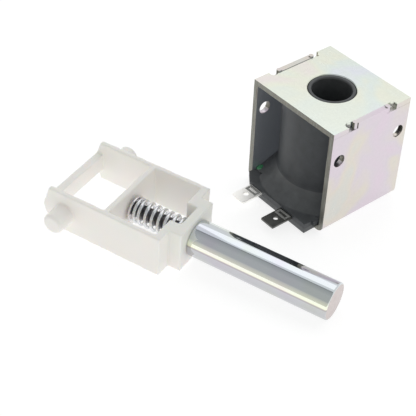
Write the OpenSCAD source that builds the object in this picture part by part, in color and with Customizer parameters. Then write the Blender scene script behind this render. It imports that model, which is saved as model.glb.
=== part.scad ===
// Push pull solenoid with its plunger and fork drawn out and laid beside it.
// Millimetres, +Z up. Origin: centre of the frame's underside, on the bore axis.
// The front, where the terminals are, faces -Y. The plunger lies on the same floor,
// on the fork's nose and the rod's end, so its axis dips a little towards the rod's end.

/* [Frame] */
// Width of the frame across its two side plates
frame_w = 40; // [39:0.5:42]
// Depth of the frame from its open front to its open back
frame_d = 36; // [35:0.5:38]
// Height to the top face of the top plate
frame_h = 43; // [42:0.5:46]
// Thickness of the sheet steel
plate_t = 2; // [1.8:0.1:2]
// Outer radius of the two bottom bends
bend_r = 3; // [2.5:0.25:3.5]
// Diameter of the four side holes
side_hole_d = 4.8; // [4:0.1:5]
// Distance between the two holes in one side plate
side_hole_pitch = 28; // [26:0.5:29]
// Height of the side holes above the underside
side_hole_z = 30.5; // [29:0.5:32]
// Diameter of the hole in the top plate
top_hole_d = 17; // [16.6:0.1:18]

/* [Coil] */
// Diameter of the bore that guides the plunger
bore_d = 13.8; // [13.5:0.1:14]
// Outer diameter of the black coil cover
cover_d = 33.2; // [32:0.2:34]
// Outer diameter of the copper winding
winding_d = 29.6; // [26:0.2:30]
// Half width of the lip that carries the terminals
lip_half_w = 14.7; // [14:0.1:15.4]
// How far the lip's front stands from the bore axis
lip_front = 23.5; // [22:0.1:25]

/* [Terminals] */
// Width of a blade terminal
blade_w = 6.3; // [4.8:0.1:6.3]
// Thickness of a blade terminal
blade_t = 0.8; // [0.5:0.1:0.8]
// How far a terminal's tip stands from the bore axis
blade_tip = 32.6; // [31:0.2:34]
// Half the distance between the two terminals
blade_x = 8.1; // [7.2:0.1:8.1]

/* [Plunger] */
// Diameter of the plunger rod
rod_d = 13.3; // [13:0.1:13.4]
// Length of the thick rod
rod_len = 52.2; // [45:0.2:56]
// Diameter of the stem inside the fork
stem_d = 5; // [4.5:0.1:5.2]

/* [Fork] */
// Length of the fork's frame without its nose
fork_len = 47.8; // [47:0.1:48.6]
// Width across the fork's side walls
fork_w = 31.6; // [31:0.1:33]
// Height of the fork
fork_h = 16.4; // [15:0.1:17]
// Thickness of the side walls
fork_wall = 1.9; // [1.6:0.1:2.4]
// Diameter of the two side pins
pin_d = 7.6; // [6:0.1:8]
// Length of each side pin beyond its wall
pin_len = 7.4; // [6:0.1:10]
// Half width of the nose
nose_half_w = 10; // [9:0.1:11]
// Length of the nose
nose_len = 4.7; // [4.4:0.1:5]

/* [Spring] */
// Outer diameter of the spring
spring_d = 9.4; // [9:0.1:9.6]
// Diameter of the spring wire
wire_d = 1.3; // [1:0.1:1.4]
// Turns between the closed ends
spring_turns = 6.5; // [5.5:0.5:6.5]

/* [Resting place] */
// Where the fork's pointed end lies, along X
laid_x = -47.3; // [-54:0.1:-46]
// Where the fork's pointed end lies, along Y
laid_y = -77.6; // [-84:0.1:-75]
// Angle of the plunger's axis from +X
laid_angle = 19.7; // [14:0.1:22]

/* [Hidden] */
$fn = 48;

top_z0 = frame_h - plate_t;          // underside of the top plate
tab_half = 6.9;                      // half length of a staked tab
stake_y = 7.6;                       // where a tab's end is staked
stake_r = 0.9;
notch_half = 8.8;                    // half length of the notch the tab stands in
relief_y = 10;                       // round relief at each end of the notch
relief_r = 1.5;

core_d = 14.6;                       // fixed core, wider than the plunger's bore
core_top = 14;
rivet_d = 8;
neck_d = top_hole_d - 0.4;
flange_z0 = plate_t + 0.05;
flange_z1 = 4.6;
lip_mid = 1.8;                       // the lip and the terminals are a little off centre
blade_mid = -1.1;
lead_y = -11.1;                       // where a lead rises to the winding
lip_z0 = 0.5;
lip_z1 = 2.8;
flare_z = 11;                        // where the drum starts to flare out
face_z1 = 4.6;                       // top of the lip's upright front face
top_flange_z0 = 38.6;
top_flange_z1 = top_z0 - 0.1;
cover_r = cover_d / 2;
wind_z0 = flange_z1 + 0.1;
wind_z1 = top_flange_z0 - 0.1;
lead_d = 0.5;
blade_z = lip_z1 + 0.02;
function blade_at(s) = blade_mid + s * blade_x;

// Fork, in its own frame: U along the axis from the pointed end, V across, W up.
half_w = fork_w / 2;
half_h = fork_h / 2;
bar_in = 4;                          // inner face of the cross bar
bar_half_h = 3.4;
point_u = 2.7;                       // how far the end slopes back
web_u0 = 24.4;
web_u1 = 26.4;
wall_u = 45;                         // inner face of the end wall
cup_u = 49.2;                        // where the spring bears
pin_u = 9.3;                         // where the side pins stand
nose_u = fork_len + nose_len;
hole_d = stem_d + 0.5;
seat_u0 = 27.5;
seat_t = 0.8;
spring_u0 = seat_u0 + seat_t + 0.02;
spring_u1 = cup_u - 0.05;

// The fork is thicker than the rod, so the two lie tipped by this angle.
tip = atan((half_h - rod_d / 2) / (rod_len - 0.45));
lay_z = half_h * cos(tip) + nose_u * sin(tip);

module lay() {
    translate([laid_x, laid_y, lay_z]) rotate([0, tip, laid_angle]) children();
}

// A cylinder along U from a to b.
module along(a, b, d) {
    translate([a, 0, 0]) rotate([0, 90, 0]) cylinder(h = b - a, d = d);
}

// A block between two corners.
module block(a, b) { translate(a) cube(b - a); }

module channel(half, low, high, r) {
    translate([-half + r, low]) square([2 * half - 2 * r, r + 1]);
    translate([-half, low + r]) square([2 * half, high - low - r]);
    for (s = [-1, 1]) translate([s * (half - r), low + r]) circle(r = r);
}

// One bent strip: the base and both side plates, with the staked tabs.
module frame() color([0.74, 0.72, 0.74]) {
    difference() {
        union() {
            translate([0, frame_d / 2, 0]) rotate([90, 0, 0]) linear_extrude(frame_d)
                difference() {
                    channel(frame_w / 2, 0, top_z0, bend_r);
                    channel(frame_w / 2 - plate_t, plate_t, top_z0 + 1, bend_r - plate_t);
                }
            for (s = [-1, 1]) {
                block([s > 0 ? frame_w / 2 - plate_t : -frame_w / 2, -tab_half, top_z0 - 0.5],
                      [s > 0 ? frame_w / 2 : -frame_w / 2 + plate_t, tab_half, frame_h + 0.15]);
                for (t = [-1, 1]) translate([s * (frame_w / 2 - plate_t / 2), t * stake_y, top_z0])
                    cylinder(h = plate_t + 0.45, r = stake_r);
            }
        }
        for (t = [-1, 1]) translate([-frame_w, t * side_hole_pitch / 2, side_hole_z])
            rotate([0, 90, 0]) cylinder(h = 2 * frame_w, d = side_hole_d);
        translate([0, 0, -1]) cylinder(h = plate_t + 2, d = rivet_d + 0.2);
    }
}

module top_plate() color([0.80, 0.84, 0.80]) difference() {
    block([-frame_w / 2, -frame_d / 2, top_z0], [frame_w / 2, frame_d / 2, frame_h]);
    translate([0, 0, top_z0 - 1]) cylinder(h = plate_t + 2, d = top_hole_d);
    translate([0, 0, frame_h - 0.35]) cylinder(h = 0.7, d1 = top_hole_d, d2 = top_hole_d + 1.4);
    for (s = [-1, 1]) {
        block([s > 0 ? frame_w / 2 - plate_t - 0.1 : -frame_w / 2 - 1, -notch_half, top_z0 - 1],
              [s > 0 ? frame_w / 2 + 1 : -frame_w / 2 + plate_t + 0.1, notch_half, frame_h + 1]);
        for (t = [-1, 1]) translate([s * (frame_w / 2 - 0.9), t * relief_y, top_z0 - 1])
            cylinder(h = plate_t + 2, r = relief_r);
    }
}

module bobbin() color([0.13, 0.14, 0.15]) difference() {
    union() {
        translate([0, 0, flange_z0]) cylinder(h = frame_h - 0.25 - flange_z0, d = neck_d);
        block([-16.9, -17.4, flange_z0], [16.9, 17.4, flange_z1]);
        block([lip_mid - lip_half_w, -lip_front, lip_z0], [lip_mid + lip_half_w, -frame_d / 2 - 0.1, lip_z1]);
        block([lip_mid - lip_half_w, -frame_d / 2 - 0.6, flange_z0], [lip_mid + lip_half_w, -17, lip_z1]);
        translate([0, 0, top_flange_z0]) cylinder(h = top_flange_z1 - top_flange_z0, r = cover_r - 1.8);
    }
    translate([0, 0, core_top]) cylinder(h = frame_h, d = bore_d);
    translate([0, 0, 0]) cylinder(h = core_top + 0.1, d = core_d + 0.1);
    translate([0, 0, frame_h - 1.05]) cylinder(h = 1.2, d1 = bore_d, d2 = bore_d + 1.2);
    // channels for the two leads and seats for the two terminals' tails
    for (s = [-1, 1]) {
        block([blade_at(s) - 0.6, -17.9, lip_z1 + blade_t + 0.1], [blade_at(s) + 0.6, lead_y + 0.5, flange_z1 + 1]);
        block([blade_at(s) - blade_w / 2 - 0.05, -17.6, lip_z1], [blade_at(s) + blade_w / 2 + 0.05, -13, lip_z1 + blade_t + 0.1]);
    }
}

// The winding with its start and finish leads, which lie on the terminals' tails.
module winding() color([0.72, 0.38, 0.16]) {
    difference() {
        translate([0, 0, wind_z0]) cylinder(h = wind_z1 - wind_z0, d = winding_d);
        translate([0, 0, 0]) cylinder(h = frame_h, d = neck_d + 0.1);
    }
    for (s = [-1, 1]) {
        translate([blade_at(s), -16.4, blade_z + blade_t + 0.1 + lead_d / 2]) rotate([-90, 0, 0])
            cylinder(h = 16.4 + lead_y + 0.1, d = lead_d);
        translate([blade_at(s), lead_y, blade_z + blade_t + 0.1]) cylinder(h = 2, d = lead_d);
    }
}

// Outline of the cover: a drum that flares out to the lip.
function flare(z) = cover_r + 10.5 * pow(max(0, (flare_z - z) / (flare_z - lip_z1)), 1.8);

module coil_cover() color([0.17, 0.18, 0.19]) difference() {
    union() {
    // the upright face behind which the terminals are held, and its shoulders
    block([lip_mid - lip_half_w, -lip_front, lip_z1 + 0.02], [lip_mid + lip_half_w, -17, face_z1]);
    translate([0, 0, lip_z1 + 0.02]) linear_extrude(face_z1 - lip_z1 - 0.02)
        polygon([[-17.4, -17], [-17.4, -20], [lip_mid - lip_half_w, -lip_front],
                 [lip_mid, -lip_front], [lip_mid, -20], [17.4, -20], [17.4, -17]]);
    intersection() {
        rotate_extrude() polygon(concat(
            [[winding_d / 2 + 0.1, lip_z1 + 0.05]],
            [for (i = [0:8]) let (z = lip_z1 + 0.05 + i * (flare_z - lip_z1) / 8) [flare(z), z]],
            [[cover_r, top_flange_z1 - 0.6], [cover_r - 0.6, top_flange_z1], [winding_d / 2 + 0.1, top_flange_z1]]));
        union() {
            block([-17.6, -17.4, lip_z1], [17.6, 17.4, frame_h]);
            block([lip_mid - lip_half_w, -lip_front, lip_z1 + 0.02], [lip_mid + lip_half_w, -10, frame_h]);
        }
    }
    }
    cylinder(h = frame_h, d = winding_d + 0.2);
    block([-17, -17.5, 0], [17, 17.5, flange_z1 + 0.05]);
    translate([0, 0, top_flange_z0 - 0.1]) cylinder(h = 5, r = cover_r - 1.7);
    // where the terminals pass under the front edge
    for (s = [-1, 1])
        block([blade_at(s) - blade_w / 2 - 0.1, -lip_front - 1, 0], [blade_at(s) + blade_w / 2 + 0.1, -17, lip_z1 + blade_t + 0.15]);
}

// The stop that the plunger meets, riveted into the base flush with its underside.
module fixed_core() color([0.66, 0.67, 0.68]) {
    cylinder(h = flange_z0, d = rivet_d);
    translate([0, 0, flange_z0]) cylinder(h = core_top - 0.2 - flange_z0, d = core_d);
}

// r rounds the corners of the tip.
module blade(s, r) color([0.82, 0.82, 0.80]) difference() {
    union() {
        block([blade_at(s) - blade_w / 2, -blade_tip + r, blade_z], [blade_at(s) + blade_w / 2, -13.4, blade_z + blade_t]);
        block([blade_at(s) - blade_w / 2 + r, -blade_tip, blade_z], [blade_at(s) + blade_w / 2 - r, -20, blade_z + blade_t]);
        for (t = [-1, 1]) translate([blade_at(s) + t * (blade_w / 2 - r), -blade_tip + r, blade_z])
            cylinder(h = blade_t, r = r);
    }
    translate([blade_at(s), -blade_tip + 4.2, 0]) cylinder(h = 10, d = 1.8);
}
module terminal_left() blade(-1, 1.2);
module terminal_right() blade(1, 0.4);

// Rod, stem and the head that holds the seat, turned from one bar.
module plunger() color([0.80, 0.80, 0.81]) lay() {
    translate([nose_u + 0.05, 0, 0]) rotate([0, 90, 0]) rotate_extrude()
        polygon([[0, 0], [rod_d / 2 - 0.5, 0], [rod_d / 2, 0.5], [rod_d / 2, rod_len - 0.5],
                 [rod_d / 2 - 0.5, rod_len], [0, rod_len]]);
    along(seat_u0 - 0.4, nose_u + 0.1, stem_d);
    translate([seat_u0 - 0.9, 0, 0]) rotate([0, 90, 0]) rotate_extrude()
        polygon([[0, 0], [2.2, 0], [3.1, 0.35], [3.3, 0.88], [0, 0.88]]);
}

module spring_seat() color([0.86, 0.86, 0.85]) lay() difference() {
    along(seat_u0, seat_u0 + seat_t, spring_d + 0.2);
    along(seat_u0 - 1, seat_u0 + 2, stem_d + 0.1);
}

// Centre line of the wire: closed turns at both ends, open turns between.
wire_r = wire_d / 2;
coil_r = spring_d / 2 - wire_r;
closed = 1;
total_turns = spring_turns + 2 * closed;
u_a = spring_u0 + wire_r;
u_b = spring_u1 - wire_r;
pitch_open = (u_b - u_a - 2 * closed * wire_d * 1.02) / spring_turns;
function coil_u(t) = t < closed ? u_a + t * wire_d * 1.02
    : t < closed + spring_turns ? u_a + closed * wire_d * 1.02 + (t - closed) * pitch_open
    : u_b - (total_turns - t) * wire_d * 1.02;
per_turn = 16;
sides = 6;
rings = per_turn * total_turns;

module spring() color([0.80, 0.81, 0.82]) lay() {
    points = [for (i = [0:rings]) let (t = i / per_turn, a = 360 * t, c = coil_u(t))
        for (j = [0:sides - 1]) let (b = 360 * j / sides, r = coil_r + wire_r * cos(b))
            [c + wire_r * sin(b), r * cos(a), r * sin(a)]];
    faces = concat(
        [[for (j = [0:sides - 1]) j]],
        [[for (j = [0:sides - 1]) rings * sides + sides - 1 - j]],
        [for (i = [0:rings - 1]) for (j = [0:sides - 1])
            [i * sides + (j + 1) % sides, i * sides + j, (i + 1) * sides + j, (i + 1) * sides + (j + 1) % sides]]);
    polyhedron(points = points, faces = faces, convexity = 10);
}

// Outline of the fork's side: a pointed end, then straight.
module side_view(u1, hh) {
    polygon([[0, 0], [point_u * hh / half_h, hh], [u1, hh], [u1, -hh], [point_u * hh / half_h, -hh]]);
}
module walled(v0, v1) {
    translate([0, v1, 0]) rotate([90, 0, 0]) linear_extrude(v1 - v0) children();
}

module fork() color([0.92, 0.92, 0.89]) lay() difference() {
    union() {
        walled(-half_w, -half_w + fork_wall) side_view(fork_len, half_h);
        walled(half_w - fork_wall, half_w) side_view(fork_len, half_h);
        walled(-half_w + 1, half_w - 1) side_view(bar_in, bar_half_h);
        block([web_u0, -half_w + 1, -half_h], [web_u1, half_w - 1, half_h]);
        block([wall_u, -half_w + 1, -half_h], [fork_len, half_w - 1, half_h]);
        block([fork_len - 1, -nose_half_w, -half_h], [nose_u, nose_half_w, half_h]);
        for (s = [-1, 1]) translate([pin_u, s * (half_w - 0.5), 0]) rotate([-s * 90, 0, 0]) {
            cylinder(h = pin_len - 0.2, d = pin_d);
            translate([0, 0, pin_len - 0.2]) cylinder(h = 0.7, d1 = pin_d, d2 = pin_d - 1.4);
        }
    }
    along(wall_u - 1, nose_u + 1, hole_d);
    // the trough that the spring's end sits in, open above
    along(wall_u - 1, cup_u, spring_d + 0.8);
    block([wall_u - 1, -spring_d / 2 - 0.4, 0], [cup_u, spring_d / 2 + 0.4, half_h + 1]);
}

frame();
top_plate();
bobbin();
winding();
coil_cover();
fixed_core();
terminal_left();
terminal_right();
plunger();
spring_seat();
spring();
fork();
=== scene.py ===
import math
import bpy
import bmesh
from mathutils import Vector, Matrix


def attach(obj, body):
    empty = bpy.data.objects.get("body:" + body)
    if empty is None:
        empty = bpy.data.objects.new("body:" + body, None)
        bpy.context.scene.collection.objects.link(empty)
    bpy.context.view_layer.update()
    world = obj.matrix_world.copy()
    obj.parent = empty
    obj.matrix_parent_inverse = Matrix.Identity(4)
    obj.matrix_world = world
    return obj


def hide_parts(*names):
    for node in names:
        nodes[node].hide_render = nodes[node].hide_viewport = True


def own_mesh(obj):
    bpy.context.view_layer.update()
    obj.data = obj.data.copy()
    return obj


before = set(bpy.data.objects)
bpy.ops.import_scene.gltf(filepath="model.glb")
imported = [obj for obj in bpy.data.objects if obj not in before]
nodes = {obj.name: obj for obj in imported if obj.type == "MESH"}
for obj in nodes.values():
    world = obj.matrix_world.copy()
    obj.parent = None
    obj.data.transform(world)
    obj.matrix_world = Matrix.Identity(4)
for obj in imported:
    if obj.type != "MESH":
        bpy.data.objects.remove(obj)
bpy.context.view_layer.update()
scene = bpy.context.scene
scene.view_settings.view_transform = "Standard"

# ---------------------------------------------------------------- camera
AZ, EL, ROLL = math.radians(50.1), math.radians(41.0), math.radians(2.06)
EYE = Vector((213.47, -232.06, 258.32)) / 1000
back = Vector((math.sin(AZ) * math.cos(EL), -math.cos(AZ) * math.cos(EL), math.sin(EL)))
right0 = Vector((math.cos(AZ), math.sin(AZ), 0))
up0 = back.cross(right0)
right = right0 * math.cos(ROLL) + up0 * math.sin(ROLL)
up = up0 * math.cos(ROLL) - right0 * math.sin(ROLL)
cam_data = bpy.data.cameras.new("camera")
cam = bpy.data.objects.new("camera", cam_data)
scene.collection.objects.link(cam)
cam.matrix_world = Matrix.Translation(EYE) @ Matrix((right, up, back)).transposed().to_4x4()
cam_data.sensor_width = 36
cam_data.lens = 36 * 1100 / 416
cam_data.clip_start, cam_data.clip_end = 0.01, 20
scene.camera = cam

# ---------------------------------------------------------------- the plunger's own frame
# U along the axis from the fork's pointed end, V across, W up, in millimetres.
LAID = math.radians(19.7)
HALF_H, NOSE_U, ROD_R, ROD_LEN = 8.2, 52.5, 6.65, 52.2
TIP = math.atan((HALF_H - ROD_R) / (ROD_LEN - 0.45))
U = Vector((math.cos(LAID) * math.cos(TIP), math.sin(LAID) * math.cos(TIP), -math.sin(TIP)))
V = Vector((-math.sin(LAID), math.cos(LAID), 0))
W = Vector((math.cos(LAID) * math.sin(TIP), math.sin(LAID) * math.sin(TIP), math.cos(TIP)))
O = Vector((-47.3, -77.6, HALF_H * math.cos(TIP) + NOSE_U * math.sin(TIP)))


def at(u, v=0.0, w=0.0):
    return (O + U * u + V * v + W * w) / 1000


# ---------------------------------------------------------------- materials
class Mat:
    """A small wrapper that keeps node building short."""

    def __init__(self, name, base, rough, metal=0.0, **more):
        self.m = bpy.data.materials.new(name)
        self.m.use_nodes = True
        self.t = self.m.node_tree
        self.b = self.t.nodes["Principled BSDF"]
        self.b.inputs["Base Color"].default_value = (*base, 1)
        self.b.inputs["Roughness"].default_value = rough
        self.b.inputs["Metallic"].default_value = metal
        for k, v in more.items():
            self.b.inputs[k.replace("_", " ")].default_value = v
        self.coord = self.t.nodes.new("ShaderNodeTexCoord")

    def n(self, kind, **values):
        x = self.t.nodes.new(kind)
        for k, v in values.items():
            if k in x.inputs:
                x.inputs[k].default_value = v
            else:
                setattr(x, k, v)
        return x

    def link(self, a, b):
        self.t.links.new(a, b)

    def place(self, scale=(1, 1, 1), turn=(0, 0, 0)):
        x = self.n("ShaderNodeMapping")
        x.inputs["Scale"].default_value = scale
        x.inputs["Rotation"].default_value = turn
        self.link(self.coord.outputs["Object"], x.inputs["Vector"])
        return x.outputs["Vector"]

    def noise(self, scale, detail=3.0, rough=0.5, at=None, distort=0.0):
        x = self.n("ShaderNodeTexNoise")
        x.inputs["Scale"].default_value = scale
        x.inputs["Detail"].default_value = detail
        x.inputs["Roughness"].default_value = rough
        x.inputs["Distortion"].default_value = distort
        self.link(at if at is not None else self.coord.outputs["Object"], x.inputs["Vector"])
        return x.outputs["Fac"]

    def ramp(self, fac, stops):
        x = self.n("ShaderNodeValToRGB")
        e = x.color_ramp.elements
        while len(e) < len(stops):
            e.new(0.5)
        for el, (p, c) in zip(e, stops):
            el.position, el.color = p, (*c, 1) if len(c) == 3 else c
        self.link(fac, x.inputs["Fac"])
        return x.outputs["Color"]

    def mix(self, fac, a, b, kind="MIX"):
        x = self.n("ShaderNodeMix", data_type="RGBA", blend_type=kind)
        for k, v in (("Factor", fac), ("A", a), ("B", b)):
            s = [i for i in x.inputs if i.name == k and (i.type == "RGBA") == (k != "Factor")][0]
            if hasattr(v, "is_output"):
                self.link(v, s)
            elif k == "Factor":
                s.default_value = v
            else:
                s.default_value = (*v, 1)
        return [o for o in x.outputs if o.type == "RGBA"][0]

    def colour(self, c):
        self.link(c, self.b.inputs["Base Color"])
        return self

    def rough(self, fac, lo, hi):
        x = self.n("ShaderNodeMapRange")
        x.inputs["To Min"].default_value = lo
        x.inputs["To Max"].default_value = hi
        self.link(fac, x.inputs["Value"])
        self.link(x.outputs["Result"], self.b.inputs["Roughness"])
        return self

    def bump(self, height, strength, dist):
        x = self.n("ShaderNodeBump")
        x.inputs["Strength"].default_value = strength
        x.inputs["Distance"].default_value = dist
        self.link(height, x.inputs["Height"])
        self.link(x.outputs["Normal"], self.b.inputs["Normal"])
        return self


def plating(name, tints, rough_lo, rough_hi, grain=(1, 1, 1)):
    m = Mat(name, (0.8, 0.8, 0.8), 0.3, 1.0)
    big = m.noise(42, 2.0, 0.5, distort=0.6)
    fine = m.noise(900, 4.0, 0.6)
    drawn = m.noise(700, 3.0, 0.6, at=m.place(grain))
    c = m.ramp(big, tints)
    c = m.mix(0.10, c, m.ramp(fine, [(0.3, (0.55, 0.55, 0.55)), (0.7, (1, 1, 1))]), "MULTIPLY")
    m.colour(c).rough(drawn, rough_lo, rough_hi).bump(drawn, 0.10, 0.00002)
    return m.m


# Three copies of one zinc plating, chosen by which way a face looks: the side copy, lilac-grey, for outward
# faces; the top copy, painted brighter with a mint sheen for the bright sky it reflects; the inner copy, painted
# dark shade for the frame's inward faces, which mirror the black coil.
steel_side = plating("zinc_side", [(0.30, (0.74, 0.63, 0.72)), (0.46, (0.71, 0.65, 0.70)), (0.56, (0.74, 0.69, 0.62)), (0.72, (0.66, 0.70, 0.68))], 0.24, 0.36, (1, 1, 0.06))
steel_inner_painted_shade = plating("zinc_inner_painted_shade", [(0.30, (0.34, 0.35, 0.38)), (0.50, (0.38, 0.39, 0.41)), (0.72, (0.36, 0.38, 0.38))], 0.46, 0.60, (1, 1, 0.06))
steel_top_painted_sheen = plating("zinc_top_painted_sheen", [(0.30, (0.80, 0.83, 0.88)), (0.44, (0.80, 0.87, 0.82)), (0.56, (0.86, 0.88, 0.76)), (0.72, (0.88, 0.80, 0.80))], 0.24, 0.29, (0.30, 1, 1))


def cut_edge():
    m = Mat("sheared_edge", (0.4, 0.4, 0.4), 0.42, 1.0)
    lines = m.noise(1500, 3.0, 0.6, at=m.place((1, 1, 0.08)))
    m.colour(m.ramp(lines, [(0.25, (0.18, 0.16, 0.14)), (0.6, (0.29, 0.295, 0.265)), (0.85, (0.41, 0.43, 0.39))]))
    m.rough(lines, 0.34, 0.55).bump(lines, 0.35, 0.00004)
    return m.m


edge_steel = cut_edge()


def black_moulding(name, base, lo, hi, streak):
    m = Mat(name, base, 0.4)
    m.b.inputs["Specular IOR Level"].default_value = 0.5
    n = m.noise(260, 4.0, 0.6)
    s = m.noise(300, 2.0, 0.5, at=m.place(streak))
    c = m.ramp(n, [(0.3, tuple(x * 0.85 for x in base)), (0.7, tuple(x * 1.2 for x in base))])
    m.colour(m.mix(0.35, c, m.ramp(s, [(0.3, (0.7, 0.7, 0.72)), (0.7, (1, 1, 1))]), "MULTIPLY"))
    m.rough(n, lo, hi).bump(m.noise(2600, 2.0, 0.5), 0.12, 0.00003)
    return m.m


# Painted light: the dark inner copy of the plating also glows faintly bluish.
for m in (steel_inner_painted_shade,):
    e = m.node_tree.nodes["Principled BSDF"]
    e.inputs["Emission Color"].default_value = (0.80, 0.88, 1.0, 1)
    e.inputs["Emission Strength"].default_value = 0.045
cover_black = black_moulding("cover_black", (0.050, 0.055, 0.061), 0.42, 0.56, (1, 1, 0.05))
# A lighter copy of the black moulding for upward faces: painted light on the tops of the cover.
cover_painted_lit = black_moulding("cover_painted_lit", (0.100, 0.106, 0.112), 0.46, 0.60, (1, 1, 1))
bobbin_black = black_moulding("bobbin_black", (0.075, 0.080, 0.084), 0.30, 0.44, (1, 1, 1))


def nylon():
    m = Mat("white_nylon", (0.86, 0.85, 0.82), 0.38)
    m.b.inputs["Subsurface Weight"].default_value = 0.35
    m.b.inputs["Subsurface Radius"].default_value = (1.0, 0.85, 0.6)
    m.b.inputs["Subsurface Scale"].default_value = 0.0022
    cloud = m.noise(55, 3.0, 0.5, distort=0.8)
    c = m.ramp(cloud, [(0.30, (0.90, 0.86, 0.83)), (0.5, (0.89, 0.87, 0.845)), (0.70, (0.86, 0.87, 0.82))])
    m.colour(c).rough(m.noise(600, 3.0, 0.5), 0.32, 0.46)
    m.bump(m.noise(1300, 3.0, 0.55), 0.10, 0.00004)
    return m.m


nylon_white = nylon()
# Painted light: the white nylon glows faintly warm.
nylon_white.node_tree.nodes["Principled BSDF"].inputs["Emission Color"].default_value = (1.0, 0.965, 0.94, 1)
nylon_white.node_tree.nodes["Principled BSDF"].inputs["Emission Strength"].default_value = 0.06


def turned_steel():
    m = Mat("turned_steel", (0.75, 0.75, 0.76), 0.07, 1.0)
    along = m.place((1, 1, 1), (0, 0, -LAID))
    fine = m.n("ShaderNodeMapping")
    fine.inputs["Scale"].default_value = (1.0, 0.02, 0.02)
    m.link(along, fine.inputs["Vector"])
    rings = m.noise(2600, 2.0, 0.5, at=fine.outputs["Vector"])
    tint = m.noise(70, 2.0, 0.5, distort=0.5)
    c = m.ramp(tint, [(0.30, (0.95, 0.90, 0.96)), (0.5, (0.95, 0.96, 0.96)), (0.7, (0.94, 0.96, 0.865))])
    # Painted reflection: bands by height across the rod, grey on top, a thin dark line, a bright yellow-green
    # band and lilac underneath, stand in for the studio mirrored in the polished steel; they multiply the random
    # tint above.
    across = m.n("ShaderNodeVectorMath", operation="DOT_PRODUCT")
    m.link(m.coord.outputs["Object"], across.inputs[0])
    across.inputs[1].default_value = tuple(W)
    height_across_rod = m.n("ShaderNodeMapRange")
    mid = O.dot(W) / 1000
    height_across_rod.inputs["From Min"].default_value, height_across_rod.inputs["From Max"].default_value = mid - 0.00665, mid + 0.00665
    m.link(across.outputs["Value"], height_across_rod.inputs["Value"])
    painted_reflection_bands = m.ramp(height_across_rod.outputs["Result"], [(0.0, (0.61, 0.61, 0.635)), (0.56, (0.61, 0.61, 0.635)), (0.595, (0.48, 0.43, 0.45)), (0.63, (1.0, 1.0, 0.84)), (0.70, (0.98, 1.0, 0.90)), (0.80, (0.71, 0.74, 0.78))])
    m.colour(m.mix(1.0, c, painted_reflection_bands, "MULTIPLY"))
    m.rough(rings, 0.05, 0.10).bump(rings, 0.05, 0.000006)
    return m.m


rod_steel = turned_steel()


def end_face():
    m = Mat("rod_end_face", (0.74, 0.68, 0.67), 0.38, 1.0)
    n = m.noise(500, 3.0, 0.5)
    m.colour(m.ramp(n, [(0.3, (0.61, 0.54, 0.53)), (0.7, (0.68, 0.62, 0.60))])).rough(n, 0.32, 0.46)
    return m.m


rod_face = end_face()


# The stem and head are turned in one with the rod; this dark copy of the steel is painted shade for the stem
# inside the spring.
def stem():
    m = Mat("stem_painted_shade", (0.20, 0.20, 0.21), 0.4, 1.0)
    n = m.noise(700, 3.0, 0.5)
    m.colour(m.ramp(n, [(0.3, (0.13, 0.13, 0.14)), (0.7, (0.24, 0.24, 0.25))])).rough(n, 0.32, 0.48)
    return m.m


stem_painted_shade = stem()


def bright_wire():
    m = Mat("zinc_wire", (0.80, 0.81, 0.83), 0.2, 1.0)
    n = m.noise(900, 3.0, 0.5)
    m.colour(m.ramp(n, [(0.3, (0.66, 0.70, 0.70)), (0.7, (0.88, 0.86, 0.90))])).rough(n, 0.16, 0.28)
    m.bump(m.noise(2500, 2.0, 0.5), 0.1, 0.00001)
    return m.m


wire_zinc = bright_wire()


def washer_zinc():
    m = Mat("washer_zinc", (0.82, 0.80, 0.82), 0.25, 1.0)
    n = m.noise(800, 3.0, 0.5)
    m.colour(m.ramp(n, [(0.3, (0.74, 0.72, 0.74)), (0.7, (0.88, 0.86, 0.86))])).rough(n, 0.2, 0.34)
    m.bump(n, 0.1, 0.00001)
    return m.m


def tin(name, a, b, lo, hi):
    m = Mat(name, a, 0.3, 1.0)
    n = m.noise(420, 4.0, 0.6)
    m.colour(m.ramp(n, [(0.3, a), (0.7, b)])).rough(n, lo, hi).bump(m.noise(1800, 3.0, 0.6), 0.15, 0.00001)
    return m.m


# The two blades carry the same tinning, given lit and shaded copies: the left one painted near-white, the right
# one painted dark. The stamped ridges get a mid-grey, non-metallic copy of that tinning, a painted tone for how
# light falls on them.
tin_left_painted_lit = tin("tinned_left_painted_lit", (0.95, 0.94, 0.91), (1.0, 0.99, 0.96), 0.40, 0.52)
# Painted light: the left blade glows faintly.
e = tin_left_painted_lit.node_tree.nodes["Principled BSDF"]
e.inputs["Emission Color"].default_value = (1.0, 0.98, 0.95, 1)
e.inputs["Emission Strength"].default_value = 0.10
tin_right_painted_shade = tin("tinned_right_painted_shade", (0.15, 0.15, 0.145), (0.21, 0.21, 0.20), 0.42, 0.56)
ridge_tin_painted_shading = tin("tinned_ridge_painted_shading", (0.24, 0.24, 0.235), (0.38, 0.38, 0.37), 0.40, 0.52)
ridge_tin_painted_shading.node_tree.nodes["Principled BSDF"].inputs["Metallic"].default_value = 0.0


def copper():
    m = Mat("enamelled_wire", (0.62, 0.27, 0.12), 0.25, 1.0)
    w = m.n("ShaderNodeTexWave", wave_type="BANDS", bands_direction="Z", wave_profile="SIN")
    w.inputs["Scale"].default_value = 1200
    w.inputs["Distortion"].default_value = 0.4
    m.link(m.coord.outputs["Object"], w.inputs["Vector"])
    m.colour(m.ramp(m.noise(300, 3.0, 0.5), [(0.3, (0.55, 0.22, 0.09)), (0.7, (0.70, 0.33, 0.15))]))
    m.bump(w.outputs["Fac"], 0.6, 0.0001)
    return m.m


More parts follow.
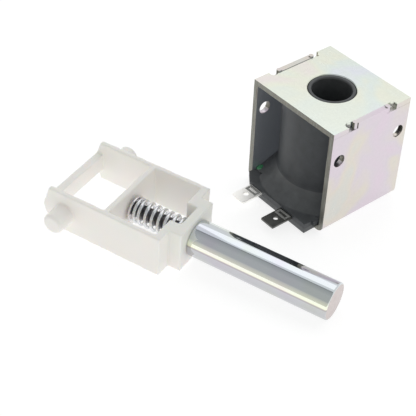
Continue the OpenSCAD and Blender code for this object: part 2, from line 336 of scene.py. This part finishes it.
def core():
    m = Mat("core_steel", (0.6, 0.6, 0.61), 0.35, 1.0)
    n = m.noise(700, 3.0, 0.5)
    m.colour(m.ramp(n, [(0.3, (0.50, 0.50, 0.51)), (0.7, (0.66, 0.66, 0.66))])).rough(n, 0.28, 0.42)
    m.bump(m.noise(1600, 2.0, 0.5, at=m.place((1, 1, 0.05))), 0.15, 0.00001)
    return m.m


def paint():
    m = Mat("green_paint", (0.06, 0.30, 0.13), 0.2)
    m.b.inputs["Coat Weight"].default_value = 0.6
    n = m.noise(1200, 3.0, 0.5)
    m.colour(m.ramp(n, [(0.3, (0.035, 0.20, 0.08)), (0.7, (0.07, 0.34, 0.15))])).bump(n, 0.2, 0.00002)
    return m.m


# ---------------------------------------------------------------- piece helpers
def add(name, bm, body, mats, smooth=30):
    me = bpy.data.meshes.new(name)
    bm.normal_update()
    bm.to_mesh(me)
    bm.free()
    ob = bpy.data.objects.new(name, me)
    scene.collection.objects.link(ob)
    for x in mats:
        me.materials.append(x)
    me.polygons.foreach_set("use_smooth", [True] * len(me.polygons))
    me.set_sharp_from_angle(angle=math.radians(smooth))
    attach(ob, body)
    return ob


def apply_all(ob):
    dg = bpy.context.evaluated_depsgraph_get()
    dg.update()
    me = bpy.data.meshes.new_from_object(ob.evaluated_get(dg))
    old = ob.data
    ob.modifiers.clear()
    ob.data = me
    bpy.data.meshes.remove(old)
    return ob


def node_copy(node):
    bm = bmesh.new()
    bm.from_mesh(nodes[node].data)
    for f in bm.faces:
        f.material_index = 0
    bmesh.ops.remove_doubles(bm, verts=bm.verts, dist=1e-6)
    return bm


def rounder(bm, axis, centre, radius, cuts=2):
    """Give a drilled hole or a round boss more sides: its rim edges are cut and pushed out to the true circle."""
    def off(v):
        d = v.co * 1000 - Vector(centre)
        d[axis] = 0
        return d
    rim = [e for e in bm.edges if abs(e.verts[0].co[axis] - e.verts[1].co[axis]) < 1e-6
           and all(abs(off(v).length - radius) < 0.03 for v in e.verts)
           and (e.verts[0].co - e.verts[1].co).length < radius * 0.0009]
    if rim:
        new = bmesh.ops.subdivide_edges(bm, edges=rim, cuts=cuts)
        for v in {x for x in new["geom_inner"] if isinstance(x, bmesh.types.BMVert)}:
            d = off(v)
            if abs(d.length - radius) < 0.35 and d.length > 0:
                v.co += d.normalized() * (radius - d.length) / 1000
    return len(rim)


def softened(name, node, body, mats, width, segments=2, angle=28, face_mat=None, circles=()):
    """A copy of a CAD piece whose sharp edges are broken by a small radius."""
    bm = node_copy(node)
    bmesh.ops.dissolve_limit(bm, angle_limit=math.radians(0.6), verts=bm.verts, edges=bm.edges)
    for c in circles:
        rounder(bm, *c)
    ob = add(name, bm, body, mats)
    mod = ob.modifiers.new("edge", "BEVEL")
    mod.width, mod.segments, mod.limit_method = width / 1000, segments, "ANGLE"
    mod.angle_limit = math.radians(angle)
    mod.harden_normals = False
    mod.use_clamp_overlap = True
    apply_all(ob)
    me = ob.data
    if face_mat:
        for p in me.polygons:
            p.material_index = face_mat(p.center, p.normal)
    me.polygons.foreach_set("use_smooth", [True] * len(me.polygons))
    me.set_sharp_from_angle(angle=math.radians(35))
    mod = ob.modifiers.new("even", "WEIGHTED_NORMAL")
    mod.keep_sharp = True
    apply_all(ob)
    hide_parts(node)
    return ob


def lathe(bm, profile, axis_at, n=128, mat=lambda i: 0):
    """profile: (u, r) pairs in mm, closed on the axis at both ends."""
    rings = []
    for u, r in profile:
        if r < 1e-6:
            rings.append([bm.verts.new(axis_at(u, 0, 0))])
        else:
            rings.append([bm.verts.new(axis_at(u, r * math.cos(2 * math.pi * k / n), r * math.sin(2 * math.pi * k / n))) for k in range(n)])
    for i in range(len(rings) - 1):
        a, b = rings[i], rings[i + 1]
        for k in range(n):
            k2 = (k + 1) % n
            if len(a) == 1:
                f = bm.faces.new((a[0], b[k2], b[k]))
            elif len(b) == 1:
                f = bm.faces.new((a[k], a[k2], b[0]))
            else:
                f = bm.faces.new((a[k], a[k2], b[k2], b[k]))
            f.material_index = mat(i)


def arc(u0, r0, rad, a0, a1, n=5):
    return [(u0 + rad * math.cos(math.radians(a0 + (a1 - a0) * i / n)), r0 + rad * math.sin(math.radians(a0 + (a1 - a0) * i / n))) for i in range(n + 1)]


# ---------------------------------------------------------------- coil unit
# Sorts the frame's faces: 1 for the sheared edges facing front and back, 2 for the plates' inward faces, which
# take the painted-shade copy of the plating, 0 for the rest.
def cut_or_shaded_inner(c, n):
    if abs(n.y) > 0.8:
        return 1
    return 2 if n.x * c.x < -1e-6 and abs(n.x) > 0.8 and abs(c.x) < 0.0184 else 0


frame_sheet = softened("frame_sheet", "frame", "coil_unit", [steel_side, edge_steel, steel_inner_painted_shade], 0.22, 2, face_mat=cut_or_shaded_inner,
                       circles=[(0, (0, y, 30.5), 2.4) for y in (-14, 14)])
# On the top plate the side ends take the side copy and the other faces take the brighter painted-sheen copy: lit
# and shaded copies of one plating. The front and back edges take the sheared edge.
top_sheet = softened("top_sheet", "top_plate", "coil_unit", [steel_top_painted_sheen, edge_steel, steel_side], 0.25, 2,
                     face_mat=lambda c, n: 1 if (n.y < -0.8 or n.y > 0.8) and abs(c.y) > 0.0175 else (2 if abs(n.x) > 0.8 and abs(c.x) > 0.0195 else 0),
                     circles=[(2, (0, 0, 43), 8.5), (2, (0, 0, 43), 9.2)])
# The cover's upward faces take the lighter copy: painted light.
cover = softened("cover_shell", "coil_cover", "coil_unit", [cover_black, cover_painted_lit], 0.3, 2, angle=40, face_mat=lambda c, n: 1 if n.z > 0.25 else 0)
neck = softened("bobbin_body", "bobbin", "coil_unit", [bobbin_black], 0.2, 2, angle=40)


def stamp(bm, x0, x1, y0, y1, z, t, h):
    """A raised ridge, pressed up round a rectangle on a blade."""
    for a, b, c, d in ((x0, x1, y0, y0 + t), (x0, x1, y1 - t, y1), (x0, x0 + t, y0 + t, y1 - t), (x1 - t, x1, y0 + t, y1 - t)):
        lo = [bm.verts.new(Vector(q) / 1000) for q in ((a, c, z), (b, c, z), (b, d, z), (a, d, z))]
        k = t * 0.25
        hi = [bm.verts.new(Vector(q) / 1000) for q in ((a + k, c + k, z + h), (b - k, c + k, z + h), (b - k, d - k, z + h), (a + k, d - k, z + h))]
        bm.faces.new(lo[::-1]).material_index = 1
        bm.faces.new(hi).material_index = 1
        for i in range(4):
            bm.faces.new((lo[i], lo[(i + 1) % 4], hi[(i + 1) % 4], hi[i])).material_index = 1


for node, m, x in (("terminal_left", tin_left_painted_lit, -9.2), ("terminal_right", tin_right_painted_shade, 7.0)):
    t = softened(node + "_blade", node, "coil_unit", [m, ridge_tin_painted_shading], 0.12, 2, angle=40)
    more = bmesh.new()
    stamp(more, x - 2.7, x + 2.7, -26.6, -23.7, 3.60, 0.95, 0.16)
    ob = add(node + "_stamp", more, "coil_unit", [m, ridge_tin_painted_shading], 30)

for node, name, body, m, slot in (("winding", "winding_coil", "coil_unit", copper(), "copper_wire"),
                                  ("fixed_core", "core_stop", "coil_unit", core(), "core_steel"),
                                  ("spring_seat", "seat_washer", "seat", washer_zinc(), "washer_steel")):
    softened(name, node, body, [m], 0.08, 2, angle=40)

# a drop of green paint on the corner of the cover's flare
hit, where, facing, _ = cover.ray_cast(Vector((-0.0168, -0.0155, 0.03)), Vector((0, 0, -1)))
if not hit:
    raise RuntimeError("the paint drop found no surface")
bm = bmesh.new()
turn = facing.to_track_quat("Z", "Y")
rows = []
for i in range(9):
    a = math.radians(90 * i / 8)
    rr, hh_ = 1.55 * math.cos(a), 0.62 * math.sin(a) - 0.1
    rows.append([bm.verts.new(where + turn @ (Vector((rr * math.cos(b) * (1 + 0.06 * math.sin(3 * b)), rr * math.sin(b), hh_)) / 1000))
                 for b in [2 * math.pi * k / 28 for k in range(28)]] if i < 8 else [bm.verts.new(where + turn @ Vector((0, 0, 0.00052)))])
for i in range(8):
    for k in range(28):
        k2 = (k + 1) % 28
        if len(rows[i + 1]) == 1:
            bm.faces.new((rows[i][k], rows[i][k2], rows[i + 1][0]))
        else:
            bm.faces.new((rows[i][k], rows[i][k2], rows[i + 1][k2], rows[i + 1][k]))
bm.faces.new(rows[0][::-1])
drop = add("paint_drop", bm, "coil_unit", [paint()], 60)

# ---------------------------------------------------------------- plunger
bm = bmesh.new()
u0, u1 = NOSE_U + 0.05, NOSE_U + 0.05 + ROD_LEN
prof = [(26.6, 0), (26.6, 2.0), (26.75, 2.3), (27.1, 3.1), (27.3, 3.3), (27.48, 3.3), (27.48, 2.5), (u0, 2.5), (u0, ROD_R - 0.5)]
prof += arc(u0 + 0.5, ROD_R - 0.5, 0.5, 180, 90)
prof += arc(u1 - 0.5, ROD_R - 0.5, 0.5, 90, 0)
prof += [(u1, 0)]
last = len(prof) - 2
# Head, stem and shoulder rings take the dark copy (painted shade); the far end face takes its own finish.
lathe(bm, prof, at, 160, mat=lambda i: 1 if i >= last else (2 if i < 8 else 0))
bmesh.ops.recalc_face_normals(bm, faces=bm.faces)
rod = add("plunger_turned", bm, "plunger_rod", [rod_steel, rod_face, stem_painted_shade], 40)
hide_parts("plunger")

# ---------------------------------------------------------------- spring
WIRE, COIL = 0.65, 4.05
S0, S1 = 28.32 + WIRE, 49.15 - WIRE
CLOSED, OPEN = 1.0, 6.5
TOTAL = OPEN + 2 * CLOSED
DENSE = 2 * WIRE * 1.02
PITCH = (S1 - S0 - 2 * CLOSED * DENSE) / OPEN


def coil_u(t):
    if t < CLOSED:
        return S0 + t * DENSE
    if t < CLOSED + OPEN:
        return S0 + CLOSED * DENSE + (t - CLOSED) * PITCH
    return S1 - (TOTAL - t) * DENSE


bm = bmesh.new()
per, sides = 40, 14
rings = []
steps = int(per * TOTAL)
for i in range(steps + 1):
    t = i / per
    a = 2 * math.pi * t
    c = coil_u(t)
    rings.append([bm.verts.new(at(c + WIRE * math.sin(b), (COIL + WIRE * math.cos(b)) * math.cos(a), (COIL + WIRE * math.cos(b)) * math.sin(a)))
                  for b in [2 * math.pi * j / sides for j in range(sides)]])
for i in range(steps):
    for j in range(sides):
        j2 = (j + 1) % sides
        bm.faces.new((rings[i][j], rings[i][j2], rings[i + 1][j2], rings[i + 1][j]))
bm.faces.new(rings[0])
bm.faces.new(list(reversed(rings[-1])))
bmesh.ops.recalc_face_normals(bm, faces=bm.faces)
wire = add("spring_wire", bm, "seat", [wire_zinc], 50)
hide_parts("spring")
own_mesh(wire)

# ---------------------------------------------------------------- fork: the moulding, with soft edges
bm = node_copy("fork")
bmesh.ops.dissolve_limit(bm, angle_limit=math.radians(0.6), verts=bm.verts, edges=bm.edges)


def local(p):
    d = p * 1000 - O
    return d.dot(U), d.dot(V), d.dot(W)


bar = []
for e in bm.edges:
    a, b = local(e.verts[0].co), local(e.verts[1].co)
    if abs(a[1] - b[1]) > 20 and max(a[0], b[0]) < 4.1 and 3 < abs(a[2]) < 3.6:
        bar.append(e)
bmesh.ops.bevel(bm, geom=bar, offset=0.0012, segments=4, profile=0.5, affect="EDGES", clamp_overlap=True)
fork = add("fork_moulded", bm, "fork_body", [nylon_white], 180)
mod = fork.modifiers.new("skin", "REMESH")
mod.mode, mod.voxel_size = "VOXEL", 0.00034
apply_all(fork)
mod = fork.modifiers.new("soft", "SMOOTH")
mod.factor, mod.iterations = 0.5, 5
apply_all(fork)
mod = fork.modifiers.new("lean", "DECIMATE")
mod.decimate_type, mod.ratio = "COLLAPSE", 0.35
apply_all(fork)
fork.data.materials.clear()
fork.data.materials.append(nylon_white)
fork.data.polygons.foreach_set("use_smooth", [True] * len(fork.data.polygons))
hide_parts("fork")

# ---------------------------------------------------------------- stage
floor_mesh = bpy.data.meshes.new("floor")
floor_mesh.from_pydata([(-3, -3, 0), (3, -3, 0), (3, 3, 0), (-3, 3, 0)], [], [(0, 1, 2, 3)])
floor = bpy.data.objects.new("floor", floor_mesh)
floor.location = (0, 0, -0.0003)
scene.collection.objects.link(floor)
fm = bpy.data.materials.new("floor")
fm.use_nodes = True
fb = fm.node_tree.nodes["Principled BSDF"]
fb.inputs["Base Color"].default_value = (0.40, 0.40, 0.40, 1)
fb.inputs["Roughness"].default_value = 0.9
fb.inputs["Specular IOR Level"].default_value = 0.0
fb.inputs["Emission Color"].default_value = (1, 1, 1, 1)
fb.inputs["Emission Strength"].default_value = 0.76
floor_mesh.materials.append(fm)


def area(name, loc, target, size, power, colour=(1, 1, 1)):
    d = bpy.data.lights.new(name, "AREA")
    d.shape, d.size, d.energy, d.color = "SQUARE", size, power, colour
    o = bpy.data.objects.new(name, d)
    o.location = loc
    o.rotation_mode = "QUATERNION"
    o.rotation_quaternion = (Vector(target) - Vector(loc)).to_track_quat("-Z", "Y")
    scene.collection.objects.link(o)
    return o


area("key", (-0.3, 0.35, 0.8), (0, -0.03, 0), 0.6, 0.5)

# A soft box: bright behind the object and overhead, greyer on the near side.
world = bpy.data.worlds.new("world")
scene.world = world
world.use_nodes = True
wt = world.node_tree
bg = wt.nodes["Background"]
tc = wt.nodes.new("ShaderNodeTexCoord")
dot = wt.nodes.new("ShaderNodeVectorMath")
dot.operation = "DOT_PRODUCT"
dot.inputs[1].default_value = tuple(V)
wt.links.new(tc.outputs["Generated"], dot.inputs[0])
side = wt.nodes.new("ShaderNodeMapRange")
side.inputs["From Min"].default_value, side.inputs["From Max"].default_value = -0.5, 0.5
wt.links.new(dot.outputs["Value"], side.inputs["Value"])
r1 = wt.nodes.new("ShaderNodeValToRGB")
stops = [(0.0, (0.60, 0.61, 0.60)), (0.44, (0.46, 0.48, 0.48)), (0.495, (0.28, 0.29, 0.29)), (0.515, (0.10, 0.10, 0.10)), (0.535, (0.95, 0.98, 1.0)), (1.0, (1.0, 1.0, 1.0))]
while len(r1.color_ramp.elements) < len(stops):
    r1.color_ramp.elements.new(0.5)
for e, (p, c) in zip(r1.color_ramp.elements, stops):
    e.position, e.color = p, (*c, 1)
wt.links.new(side.outputs["Result"], r1.inputs["Fac"])
r2 = wt.nodes.new("ShaderNodeValToRGB")
stops = [(0.0, (0.76, 0.75, 0.70)), (0.42, (0.76, 0.75, 0.69)), (0.5, (0.88, 0.89, 0.85)), (1.0, (1.0, 1.0, 1.0))]
while len(r2.color_ramp.elements) < len(stops):
    r2.color_ramp.elements.new(0.5)
for e, (p, c) in zip(r2.color_ramp.elements, stops):
    e.position, e.color = p, (*c, 1)
wt.links.new(side.outputs["Result"], r2.inputs["Fac"])
sep = wt.nodes.new("ShaderNodeSeparateXYZ")
wt.links.new(tc.outputs["Generated"], sep.inputs["Vector"])
high = wt.nodes.new("ShaderNodeMapRange")
high.inputs["From Min"].default_value, high.inputs["From Max"].default_value = 0.34, 0.46
wt.links.new(sep.outputs["Z"], high.inputs["Value"])
mx = wt.nodes.new("ShaderNodeMix")
mx.data_type = "RGBA"
wt.links.new(high.outputs["Result"], mx.inputs[0])
wt.links.new(r2.outputs["Color"], mx.inputs[6])
wt.links.new(r1.outputs["Color"], mx.inputs[7])
wt.links.new(mx.outputs[2], bg.inputs["Color"])
bg.inputs["Strength"].default_value = 0.86
